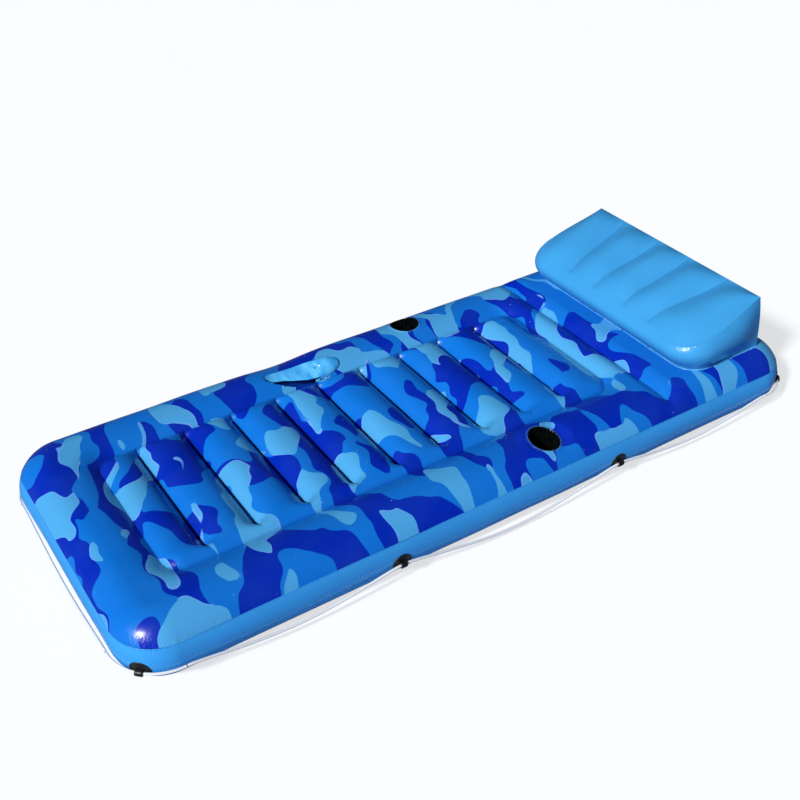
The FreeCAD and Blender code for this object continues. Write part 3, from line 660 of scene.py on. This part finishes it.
# ---- rope and holders
def rope(name, path, body, material, phase=0.0):
    """Three-strand twisted rope along a path of points."""
    path = np.asarray(path, float)
    steps = np.hypot(np.hypot(*np.diff(path, axis=0)[:, :2].T), np.diff(path[:, 2]))
    run = np.concatenate([[0], np.cumsum(steps)])
    count = max(8, int(run[-1] / 3.0))
    s = np.linspace(0, run[-1], count)
    p = np.stack([np.interp(s, run, path[:, k]) for k in range(3)], 1)
    t = np.gradient(p, axis=0)
    t /= np.linalg.norm(t, axis=1)[:, None]
    up = np.array([0.0, 0.0, 1.0])
    side = np.cross(t, up)
    side /= np.linalg.norm(side, axis=1)[:, None]
    lift = np.cross(side, t)
    around = 18
    a = np.arange(around) / around * 2 * math.pi
    twist = s[:, None] / 26.0 * 2 * math.pi + phase
    off = ((a[None, :] + twist) / (2 * math.pi / 3) + 0.5) % 1.0 - 0.5
    r = 4.0 * (1.0 - 0.62 * off ** 2)
    across, high = (r * np.cos(a))[..., None], (r * np.sin(a))[..., None]
    pts = (p[:, None, :] + side[:, None, :] * across + lift[:, None, :] * high).reshape(-1, 3)
    faces = quads(count, around, wrap=True).tolist()
    faces.append(list(range(around)))
    faces.append(list(range((count - 1) * around, count * around))[::-1])
    values = {"lay": (a[None, :] + twist).ravel(), "run": np.repeat(s, around)}
    return piece(f"{name}_twist", pts, faces, material, body, values=values, replaces=[name])


def rope_paths():
    """Name, body and centre line of each run of the rope."""
    out = {}
    for end, x in (("foot", -1), ("head", 1)):
        for side, y in (("near", -1), ("far", 1)):
            a = np.radians(np.linspace(-1.0, 91.0, 60))
            turn_x, turn_y = BASE_X + TURN_R * np.cos(a), BASE_Y + TURN_R * np.sin(a)
            p = np.stack([x * turn_x, y * turn_y, a * 0 + EYE_HEIGHT], 1)
            out[f"rope_corner_{end}_{side}"] = ("root", p[1:-1])

    def span(start, end):
        start, end = np.array(start, float), np.array(end, float)
        length = np.linalg.norm(end - start)
        along = (end - start) / length
        s = np.linspace(0.25, length - 0.25, 240)
        share = np.clip((s - 15) / (length - 30), 0, 1)
        sag = 36.0 * (length / (BASE_X - HOLDER_X)) ** 2
        drop = sag * np.sin(math.pi * share).clip(0) ** 1.2
        return start + along * s[:, None] - np.array([0, 0, 1.0]) * drop[:, None]

    rx, ry = BASE_X + TURN_R, BASE_Y + TURN_R
    for end, x in (("foot", -1), ("head", 1)):
        name = f"rope_span_{end}"
        out[name] = (f"{name}_body", span((x * rx, -BASE_Y, EYE_HEIGHT), (x * rx, BASE_Y, EYE_HEIGHT)))
    stops = (("foot", -BASE_X, -HOLDER_X), ("middle", -HOLDER_X, HOLDER_X), ("head", HOLDER_X, BASE_X))
    for side, y in (("near", -1), ("far", 1)):
        for part, x0, x1 in stops:
            name = f"rope_span_{side}_{part}"
            out[name] = (f"{name}_body", span((x0, y * ry, EYE_HEIGHT), (x1, y * ry, EYE_HEIGHT)))
    return out


def on_wall(place, along, round_, height):
    """Point by a holder: along the tube from its middle, round the tube's section, and above the film."""
    kind, x, y, heading = place
    angle = math.radians(EYE_ANGLE) + round_ / TUBE
    out = CREST_OFFSET + (TUBE + height) * np.cos(angle)
    z = TUBE + (TUBE + height) * np.sin(angle)
    if kind == "corner":
        turn = heading + along / CORNER
        return np.stack([x + out * np.cos(turn), y + out * np.sin(turn), z + 0 * turn], -1)
    sign = math.sin(heading)
    return np.stack([x - sign * along, y + sign * out, z + 0 * along], -1)


def rope_holder(name, place, material):
    """Moulded patch with a raised lug that the rope runs through."""
    around = 72
    t = np.arange(around) / around * 2 * math.pi
    profile = ((29.0, 0.1), (29.0, 1.2), (28.3, 1.9), (27.2, 2.2), (25.4, 2.2), (24.6, 1.7), (23.4, 1.6),
               (19.0, 1.8), (14.0, 2.2), (10.0, 2.5), (5.0, 2.6), (0.5, 2.6))
    pts = np.concatenate([on_wall(place, r * np.cos(t), r * np.sin(t), h) for r, h in profile])
    faces = quads(len(profile), around, wrap=True).tolist()
    # lug: a bored block, wide at its foot and rounded over the rope
    turns = 40
    u = np.arange(turns) / turns * 2 * math.pi
    lug = []
    stations = ((-9.5, 0.60), (-9.0, 0.82), (-7.5, 0.97), (-4.0, 1.0),
                (4.0, 1.0), (7.5, 0.97), (9.0, 0.82), (9.5, 0.60))
    low = np.cos(u) < 0
    across = np.where(low, 8.6 + 5.0 * np.abs(np.cos(u)) ** 1.5, 8.6) * np.sin(u)
    high = np.where(low, 7.4, 8.3) * np.cos(u)
    for a, full in stations:
        size = 0.72 + 0.28 * full
        lug.append(on_wall(place, a + 0 * u, across * size, EYE_STANDOFF + high * size))
    for a, _ in stations[::-1]:
        lug.append(on_wall(place, a + 0 * u, 4.7 * np.sin(u), EYE_STANDOFF + 4.7 * np.cos(u)))
    start = len(pts)
    pts = np.concatenate([pts] + lug)
    faces += (quads(len(lug), turns, wrap=True) + start).tolist()
    first, last = start, start + (len(lug) - 1) * turns
    faces += [[last + n, last + (n + 1) % turns, first + (n + 1) % turns, first + n] for n in range(turns)]
    ob = piece(f"{name}_moulding", pts, faces, material, replaces=[name])
    ob.data.set_sharp_from_angle(angle=math.radians(50))
    return ob


def holders_and_rope(rubber, white):
    """A holder on each corner and two on each long side, with the rope run through them."""
    for end, x in (("foot", -1), ("head", 1)):
        for side, y in (("near", -1), ("far", 1)):
            corner = ("corner", x * BASE_X, y * BASE_Y, math.atan2(y, x))
            rope_holder(f"rope_holder_{end}_corner_{side}", corner, rubber)
            middle = ("side", x * HOLDER_X, y * BASE_Y, y * math.pi / 2)
            rope_holder(f"rope_holder_{end}_side_{side}", middle, rubber)
    for n, (name, (body, path)) in enumerate(rope_paths().items()):
        rope(name, path, body, white, phase=n * 1.1)


# ---- materials
def lin(r, g, b):
    """Display colour in 0 to 255 as linear values."""
    values = [((c / 255 + 0.055) / 1.055) ** 2.4 if c > 10 else c / 255 / 12.92 for c in (r, g, b)]
    return (*values, 1.0)


class Nodes:
    """Short hand for building a material's node tree."""

    def __init__(self, name):
        self.material = bpy.data.materials.new(name)
        self.material.use_nodes = True
        self.tree = self.material.node_tree
        self.tree.nodes.clear()
        self.out = self.add("ShaderNodeOutputMaterial")
        self.shader = self.add("ShaderNodeBsdfPrincipled")
        self.tree.links.new(self.shader.outputs[0], self.out.inputs[0])
        self.coords = self.add("ShaderNodeTexCoord").outputs["Object"]

    def add(self, kind, **settings):
        node = self.tree.nodes.new(kind)
        for key, value in settings.items():
            setattr(node, key, value)
        return node

    def put(self, socket, value):
        if hasattr(value, "is_output"):
            self.tree.links.new(value, socket)
        else:
            socket.default_value = value

    def feed(self, node, *values, **named):
        """Sets or links a node's first inputs in order, and others by name."""
        for socket, value in zip(node.inputs, values):
            self.put(socket, value)
        for key, value in named.items():
            self.put(node.inputs[key], value)
        return node.outputs

    def math(self, op, a, b=0.0, c=0.0):
        return self.feed(self.add("ShaderNodeMath", operation=op), a, b, c)[0]

    def vector(self, op, a, b):
        return self.feed(self.add("ShaderNodeVectorMath", operation=op), a, b)[0]

    def mapped(self, scale, turn=(0, 0, 0), shift=(0, 0, 0), source=None):
        node = self.add("ShaderNodeMapping")
        return self.feed(node, Vector=source or self.coords, Scale=scale, Rotation=turn, Location=shift)[0]

    def noise(self, vector, scale, detail=2.0, rough=0.5, twist=0.0, colour=False):
        out = self.feed(self.add("ShaderNodeTexNoise"), Vector=vector, Scale=scale, Detail=detail,
                        Roughness=rough, Distortion=twist)
        return out["Color" if colour else "Fac"]

    def ramp(self, value, lo, hi, a=0.0, b=1.0):
        return self.feed(self.add("ShaderNodeMapRange", clamp=True), value, lo, hi, a, b)[0]

    def blend(self, fac, a, b):
        node = self.add("ShaderNodeMix", data_type="RGBA")
        self.put(node.inputs[0], fac)
        self.put(node.inputs[6], a)
        self.put(node.inputs[7], b)
        return node.outputs[2]

    def attribute(self, name):
        return self.add("ShaderNodeAttribute", attribute_name=name).outputs["Fac"]

    def bump(self, height, strength, distance, before=None):
        before = {} if before is None else {"Normal": before}
        node = self.add("ShaderNodeBump")
        return self.feed(node, Strength=strength, Distance=distance, Height=height, **before)[0]

    def finish(self, **inputs):
        for key, value in inputs.items():
            self.put(self.shader.inputs[key.replace("_", " ")], value)
        return self.material


def film_surface(n, colour, rough):
    """Shared finish of the glossy films: faint haze, seam puckers, dust specks, painted shade along creases
    and grooves, and fine waviness.
    """
    seam, corner = n.attribute("seam"), n.attribute("corner")
    wide = n.noise(n.coords, 9.0, 2.0)
    fine = n.noise(n.coords, 60.0, 3.0)
    gather = n.noise(n.mapped((1, 1, 0.12)), 150.0, 1.0)
    gather = n.math("MULTIPLY", gather, n.math("MULTIPLY", seam, n.math("MULTIPLY_ADD", corner, 1.6, 0.5)))
    cells = n.add("ShaderNodeTexVoronoi")
    n.put(cells.inputs["Vector"], n.coords)
    n.put(cells.inputs["Scale"], 26.0)
    split = n.add("ShaderNodeSeparateColor")
    n.put(split.inputs[0], cells.outputs["Color"])
    dot = n.ramp(cells.outputs["Distance"], 0.03, 0.045, 1.0, 0.0)
    speck = n.math("MULTIPLY", dot, n.ramp(split.outputs[0], 0.45, 0.9))
    colour = n.blend(n.math("MULTIPLY", speck, 0.7), colour, lin(165, 215, 240))
    colour = n.blend(n.ramp(wide, 0.35, 0.7, 0.0, 0.02), colour, lin(120, 190, 235))
    # painted shade: navy along the creases, the weld line and the pillow's grooves, from the valley mask
    colour = n.blend(n.math("MULTIPLY", n.attribute("valley"), 0.6), colour, lin(0, 14, 70))
    normal = n.bump(wide, 0.12, 0.004)
    normal = n.bump(gather, 0.55, 0.0022, normal)
    normal = n.bump(fine, 0.05, 0.0005, normal)
    return n.finish(Base_Color=colour, Roughness=n.math("ADD", n.ramp(fine, 0.3, 0.7, -0.03, 0.05), rough),
                    Normal=normal, Specular_IOR_Level=0.32, Coat_Weight=0.06, Coat_Roughness=0.10)


def print_colour(n):
    """Three blues in long rounded patches, with a pale line round some of them."""
    plan = n.vector("MULTIPLY", n.coords, (1, 1, 0))
    sway = n.vector("SUBTRACT", n.noise(plan, 2.8, 0.0, 0.4, colour=True), (0.5, 0.5, 0.5))
    shifted = n.vector("ADD", plan, (7, 3, 0))
    wobble = n.vector("SUBTRACT", n.noise(shifted, 13.0, 0.0, 0.4, colour=True), (0.5, 0.5, 0.5))
    warped = n.vector("ADD", plan, n.vector("MULTIPLY", sway, (0.14, 0.09, 0)))
    warped = n.vector("ADD", warped, n.vector("MULTIPLY", wobble, (0.055, 0.07, 0)))
    dark = n.noise(n.mapped((10.2, 4.8, 1), (0, 0, 0.35), (2.3, 0.6, 4.0), warped), 1.0, 0.5, 0.4)
    pale = n.noise(n.mapped((11.4, 5.6, 1), (0, 0, 0.20), (8.1, 5.2, 9.0), warped), 1.0, 0.5, 0.4)
    colour = n.blend(n.ramp(dark, 0.508, 0.512), lin(12, 107, 199), lin(0, 36, 164))
    halo = n.math("MULTIPLY", n.ramp(pale, 0.574, 0.578), n.ramp(dark, 0.47, 0.50))
    colour = n.blend(halo, colour, lin(100, 156, 226))
    return n.blend(n.ramp(pale, 0.586, 0.590), colour, lin(72, 156, 210))


def camouflage():
    """Printed film of the mattress's top."""
    n = Nodes("printed_film")
    return film_surface(n, print_colour(n), 0.26)


def plain_film(name, colour, rough=0.27):
    """Unprinted film, cloudy towards a darker shade of its colour."""
    n = Nodes(name)
    cloud = n.noise(n.coords, 3.0, 2.0)
    darker = lin(*(max(0, c - 26) for c in colour))
    return film_surface(n, n.blend(n.ramp(cloud, 0.3, 0.7, 0.0, 0.18), lin(*colour), darker), rough)


def crumpled_film():
    """Light-blue liner film, paler along its creases, with painted shade inside the pocket and along its fold.
    """
    n = Nodes("liner_film")
    crease = n.noise(n.mapped((30, 12, 8), (0, 0, 0.5)), 1.0, 3.0, 0.55, 0.6)
    colour = n.blend(n.ramp(crease, 0.35, 0.7), lin(52, 152, 220), lin(104, 196, 242))
    painted_shade_colour = n.blend(n.ramp(crease, 0.3, 0.7), lin(4, 44, 130), lin(8, 60, 156))
    # painted shade: navy inside the pocket and along its fold
    colour = n.blend(n.attribute("recess_shade"), colour, painted_shade_colour)
    normal = n.bump(crease, 0.3, 0.003)
    return n.finish(Base_Color=colour, Roughness=0.20, Normal=normal, Coat_Weight=0.4, Coat_Roughness=0.08)


def black_film():
    """Glossy film of the drink wells."""
    n = Nodes("black_film")
    wave = n.noise(n.coords, 70.0, 2.0)
    colour = n.blend(n.ramp(wave, 0.3, 0.7), lin(5, 6, 7), lin(12, 13, 15))
    return n.finish(Base_Color=colour, Roughness=n.ramp(wave, 0.3, 0.7, 0.12, 0.22),
                    Normal=n.bump(wave, 0.15, 0.001), Coat_Weight=0.8, Coat_Roughness=0.06)


def ring_weld():
    """The printed film where it is pressed round a drink well, with a painted highlight paling its lip."""
    n = Nodes("clear_weld")
    knurl = n.noise(n.coords, 500.0, 1.0)
    # painted highlight: the lip mask pales the inner edge of the ring
    colour = n.blend(n.math("MULTIPLY", n.attribute("lip"), 0.4), print_colour(n), lin(110, 180, 226))
    colour = n.blend(n.ramp(knurl, 0.4, 0.7, 0.0, 0.12), colour, lin(120, 190, 235))
    return n.finish(Base_Color=colour, Roughness=0.3, Normal=n.bump(knurl, 0.2, 0.0004),
                    Coat_Weight=0.2, Coat_Roughness=0.15)


def weld_film():
    """Pressed weld: clear film with a fine knurl."""
    n = Nodes("pillow_weld")
    wave = n.add("ShaderNodeTexWave", wave_type="BANDS", bands_direction="DIAGONAL")
    n.put(wave.inputs["Vector"], n.coords)
    n.put(wave.inputs["Scale"], 160.0)
    tint = n.noise(n.coords, 40.0, 2.0)
    colour = n.blend(n.ramp(tint, 0.3, 0.7), lin(60, 146, 208), lin(92, 168, 220))
    return n.finish(Base_Color=colour, Roughness=0.3, Normal=n.bump(wave.outputs["Fac"], 0.25, 0.0004),
                    Coat_Weight=0.3, Coat_Roughness=0.15)


def black_rubber():
    """Grained moulding of the rope holders."""
    n = Nodes("black_moulding")
    grain = n.noise(n.coords, 900.0, 2.0)
    wear = n.noise(n.coords, 55.0, 3.0)
    colour = n.blend(n.ramp(wear, 0.35, 0.75), lin(9, 10, 11), lin(30, 32, 34))
    return n.finish(Base_Color=colour, Roughness=n.ramp(wear, 0.3, 0.7, 0.38, 0.56),
                    Normal=n.bump(grain, 0.25, 0.0004))


def white_rope():
    """Twisted rope, its fibres lying along the strands."""
    n = Nodes("white_rope")
    lay, run = n.attribute("lay"), n.attribute("run")
    both = n.add("ShaderNodeCombineXYZ")
    n.put(both.inputs[0], n.math("MULTIPLY", lay, 6.0))
    n.put(both.inputs[1], n.math("MULTIPLY", run, 0.06))
    fibre = n.noise(both.outputs[0], 3.0, 3.0, 0.6)
    colour = n.blend(n.ramp(fibre, 0.3, 0.7), lin(196, 198, 198), lin(238, 240, 240))
    return n.finish(Base_Color=colour, Roughness=0.62, Normal=n.bump(fibre, 0.5, 0.0006), Sheen_Weight=0.2)


def milky_vinyl():
    """Soft clear vinyl of the valves."""
    n = Nodes("clear_vinyl")
    cloud = n.noise(n.coords, 120.0, 3.0)
    colour = n.blend(n.ramp(cloud, 0.3, 0.7), lin(186, 204, 214), lin(222, 234, 240))
    return n.finish(Base_Color=colour, Roughness=n.ramp(cloud, 0.3, 0.7, 0.22, 0.36),
                    Normal=n.bump(cloud, 0.15, 0.0008), Subsurface_Weight=0.15, Subsurface_Scale=0.004)


def web_film():
    """Cloudy film of the strips inside."""
    n = Nodes("web_film")
    cloud = n.noise(n.coords, 25.0, 3.0)
    colour = n.blend(n.ramp(cloud, 0.3, 0.7), lin(150, 190, 220), lin(196, 220, 238))
    return n.finish(Base_Color=colour, Roughness=0.35, Normal=n.bump(cloud, 0.3, 0.002))


# ---- camera, light and floor
def direction(azimuth, elevation):
    """Unit vector at two angles in degrees."""
    a, e = math.radians(azimuth), math.radians(elevation)
    return Vector((math.cos(a) * math.cos(e), math.sin(a) * math.cos(e), math.sin(e)))


def camera():
    """Viewpoint off the near foot corner, looking down along the float."""
    data = bpy.data.cameras.new("camera")
    data.lens = 49.5
    data.sensor_width = 36.0
    data.clip_end = 100.0
    ob = add_object("camera", data)
    ob.location = (-1.547, -2.218, 2.1606)
    ob.rotation_euler = direction(56.7, -36.2).to_track_quat("-Z", "Y").to_euler()
    bpy.context.scene.camera = ob


def sky():
    """Bluish ambient light, weak in reflections, behind which the camera sees a pale backdrop."""
    world = bpy.data.worlds.new("studio")
    bpy.context.scene.world = world
    world.use_nodes = True
    tree = world.node_tree
    back = tree.nodes["Background"]
    rays = tree.nodes.new("ShaderNodeLightPath")
    tint = tree.nodes.new("ShaderNodeMix")
    tint.data_type = "RGBA"
    tint.inputs[6].default_value = (0.42, 0.66, 1, 1)
    tint.inputs[7].default_value = (0.96, 0.98, 1, 1)
    tree.links.new(rays.outputs["Is Camera Ray"], tint.inputs[0])
    tree.links.new(tint.outputs[2], back.inputs[0])
    glossy, seen = tree.nodes.new("ShaderNodeMapRange"), tree.nodes.new("ShaderNodeMapRange")
    tree.links.new(rays.outputs["Is Glossy Ray"], glossy.inputs["Value"])
    glossy.inputs["To Min"].default_value, glossy.inputs["To Max"].default_value = 0.16, 0.05
    tree.links.new(rays.outputs["Is Camera Ray"], seen.inputs["Value"])
    tree.links.new(glossy.outputs[0], seen.inputs["To Min"])
    seen.inputs["To Max"].default_value = 0.97
    tree.links.new(seen.outputs[0], back.inputs[1])


def lights():
    """Low sun from the foot end with a soft edge, and a weak fill from the near side."""
    key = bpy.data.lights.new("key", "SUN")
    key.energy = 4.4
    key.angle = math.radians(6.0)
    ob = add_object("key", key)
    ob.rotation_euler = direction(-160, 37).to_track_quat("Z", "Y").to_euler()
    fill = bpy.data.lights.new("fill", "AREA")
    fill.shape = "DISK"
    fill.size = 3.0
    fill.energy = 7
    ob = add_object("fill", fill)
    ob.location = (-0.5, -4.5, 1.8)
    ob.rotation_euler = (Vector((0, 0, 0.1)) - ob.location).to_track_quat("-Z", "Y").to_euler()
    ob.visible_glossy = False


def stage():
    """Pale floor that glows a little for the camera, so shadows stay light, and is bluish in bounced light."""
    me = bpy.data.meshes.new("floor")
    r, z = 30.0, -0.001
    me.from_pydata([(-r, -r, z), (r, -r, z), (r, r, z), (-r, r, z)], [], [(0, 1, 2, 3)])
    floor = add_object("floor", me)
    n = Nodes("floor")
    cloud = n.noise(n.coords, 2.0, 2.0)
    pale = n.blend(n.ramp(cloud, 0.3, 0.7), (0.98, 0.98, 0.98, 1), (0.995, 0.995, 0.995, 1))
    rays = n.add("ShaderNodeLightPath")
    seen = n.blend(rays.outputs["Is Diffuse Ray"], (0.10, 0.12, 0.16, 1), (0.18, 0.31, 0.54, 1))
    me.materials.append(n.finish(Base_Color=n.blend(rays.outputs["Is Camera Ray"], seen, pale), Roughness=0.9,
                                 Specular_IOR_Level=0.1))
    glow, both = n.add("ShaderNodeEmission"), n.add("ShaderNodeMixShader")
    n.put(glow.inputs[1], 1.0)
    n.put(both.inputs[0], n.math("MULTIPLY", rays.outputs["Is Camera Ray"], 0.7))
    n.put(both.inputs[1], n.shader.outputs[0])
    n.put(both.inputs[2], glow.outputs[0])
    n.put(n.out.inputs[0], both.outputs[0])


# ---- build
def carry_over(slots):
    """Gives each CAD node that stays its procedural material."""
    made = {p["node"]: p["material_slot"] for p in frame["record"]["subparts"]}
    for name, ob in frame["nodes"].items():
        if ob.hide_render:
            continue
        ob.data.materials.clear()
        ob.data.materials.append(slots[made[name]])


slots = {
    "printed_film": camouflage(),
    "blue_film": plain_film("blue_film", (56, 152, 222)),
    "pillow_film": plain_film("pillow_film", (60, 150, 208), 0.30),
    "liner_film": crumpled_film(),
    "black_film": black_film(),
    "clear_weld": ring_weld(),
    "black_moulding": black_rubber(),
    "white_rope": white_rope(),
    "clear_vinyl": milky_vinyl(),
    "web_film": web_film(),
}
top_sheet(slots["printed_film"])
side_wall(slots["blue_film"])
bottom_sheet(slots["blue_film"])
for side, sign in (("near", -1), ("far", 1)):
    drink_well(side, sign, slots["black_film"], slots["clear_weld"])
pocket(slots["liner_film"])
pillow(slots["pillow_film"], weld_film())
webs(slots["web_film"])
holders_and_rope(slots["black_moulding"], slots["white_rope"])
carry_over(slots)
camera()
sky()
lights()
stage()
bpy.context.scene.view_settings.view_transform = "Standard"
